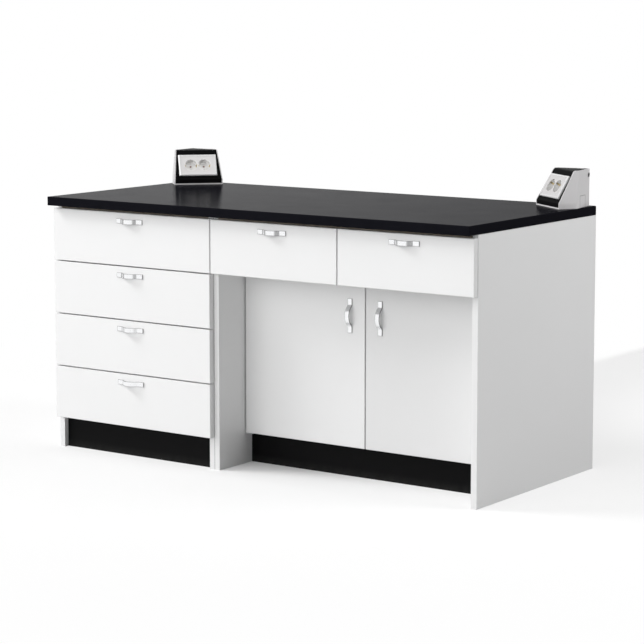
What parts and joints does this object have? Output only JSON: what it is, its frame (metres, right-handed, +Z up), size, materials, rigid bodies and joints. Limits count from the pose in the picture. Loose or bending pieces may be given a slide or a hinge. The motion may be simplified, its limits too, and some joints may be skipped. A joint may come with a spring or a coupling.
{
  "type": "laboratory bench",
  "caption": "White laboratory bench with black worktop, drawer pedestal, drawers over a recessed double-door cupboard, bow handles and corner mains socket units.",
  "frame": {"origin": "on the floor, under the middle of the worktop", "axes": "+X to the right seen from the front, +Y to the back, +Z up"},
  "size_m": [1.5, 0.7, 0.884],
  "materials": {
    "black_laminate": "satin laminate",
    "white_melamine": "satin melamine",
    "white_back_board": "satin melamine",
    "white_drawer_board": "satin foil",
    "black_plinth": "satin laminate",
    "zinc_steel": "zinc plated",
    "white_epoxy_steel": "satin epoxy",
    "satin_aluminium": "satin",
    "grey_plastic": "fine matt",
    "black_plastic": "fine matt",
    "white_plastic": "gloss",
    "brass": "plain"
  },
  "bodies": {
    "bench": {"worktop": "black_laminate", "worktop_screws": "zinc_steel", "pedestal_left_side": "white_melamine", "pedestal_right_side": "white_melamine", "pedestal_bottom_panel": "white_melamine", "pedestal_back_panel": "white_back_board", "pedestal_top_rails": "white_melamine", "pedestal_plinth": "black_plinth", "cupboard_left_side": "white_melamine", "cupboard_right_side": "white_melamine", "cupboard_bottom_panel": "white_melamine", "cupboard_back_panel": "white_back_board", "cupboard_top_rails": "white_melamine", "cupboard_plinth": "black_plinth", "cupboard_deck": "white_melamine", "cupboard_drawer_divider": "white_melamine", "cupboard_shelf": "white_melamine", "shelf_pins": "zinc_steel", "cabinet_bolts": "zinc_steel", "cabinet_runners": "white_epoxy_steel", "door_pivot_plates": "zinc_steel", "left_unit_housing": "grey_plastic", "left_unit_cover": "black_plastic", "left_unit_socket_plate": "white_plastic", "right_unit_housing": "grey_plastic", "right_unit_cover": "black_plastic", "right_unit_socket_plate": "white_plastic", "socket_inserts": "white_plastic", "socket_earth_clips": "brass", "unit_cable_plugs": "black_plastic"},
    "drawer_1": {"drawer_1_front": "white_melamine", "drawer_1_box": "white_drawer_board", "drawer_1_handle": "satin_aluminium", "drawer_1_runners": "white_epoxy_steel"},
    "drawer_2": {"drawer_2_front": "white_melamine", "drawer_2_box": "white_drawer_board", "drawer_2_handle": "satin_aluminium", "drawer_2_runners": "white_epoxy_steel"},
    "drawer_3": {"drawer_3_front": "white_melamine", "drawer_3_box": "white_drawer_board", "drawer_3_handle": "satin_aluminium", "drawer_3_runners": "white_epoxy_steel"},
    "drawer_4": {"drawer_4_front": "white_melamine", "drawer_4_box": "white_drawer_board", "drawer_4_handle": "satin_aluminium", "drawer_4_runners": "white_epoxy_steel"},
    "left_top_drawer": {"left_top_drawer_front": "white_melamine", "left_top_drawer_box": "white_drawer_board", "left_top_drawer_handle": "satin_aluminium", "left_top_drawer_runners": "white_epoxy_steel"},
    "right_top_drawer": {"right_top_drawer_front": "white_melamine", "right_top_drawer_box": "white_drawer_board", "right_top_drawer_handle": "satin_aluminium", "right_top_drawer_runners": "white_epoxy_steel"},
    "left_door": {"left_door_panel": "white_melamine", "left_door_handle": "satin_aluminium", "left_door_bushes": "zinc_steel"},
    "right_door": {"right_door_panel": "white_melamine", "right_door_handle": "satin_aluminium", "right_door_bushes": "zinc_steel"}
  },
  "joints": [
    {"name": "drawer_1_slide", "type": "slide", "parent": "bench", "child": "drawer_1", "axis": [0, -1, 0], "range_m": [0, 0.36]},
    {"name": "drawer_2_slide", "type": "slide", "parent": "bench", "child": "drawer_2", "axis": [0, -1, 0], "range_m": [0, 0.36]},
    {"name": "drawer_3_slide", "type": "slide", "parent": "bench", "child": "drawer_3", "axis": [0, -1, 0], "range_m": [0, 0.36]},
    {"name": "drawer_4_slide", "type": "slide", "parent": "bench", "child": "drawer_4", "axis": [0, -1, 0], "range_m": [0, 0.36]},
    {"name": "left_top_drawer_slide", "type": "slide", "parent": "bench", "child": "left_top_drawer", "axis": [0, -1, 0], "range_m": [0, 0.36]},
    {"name": "right_top_drawer_slide", "type": "slide", "parent": "bench", "child": "right_top_drawer", "axis": [0, -1, 0], "range_m": [0, 0.36]},
    {"name": "left_door_hinge", "type": "hinge", "parent": "bench", "child": "left_door", "pos_m": [-0.1165, -0.173, 0.3365], "axis": [0, 0, -1], "range_deg": [0, 90]},
    {"name": "right_door_hinge", "type": "hinge", "parent": "bench", "child": "right_door", "pos_m": [0.7195, -0.173, 0.3365], "axis": [0, 0, 1], "range_deg": [0, 90]}
  ]
}
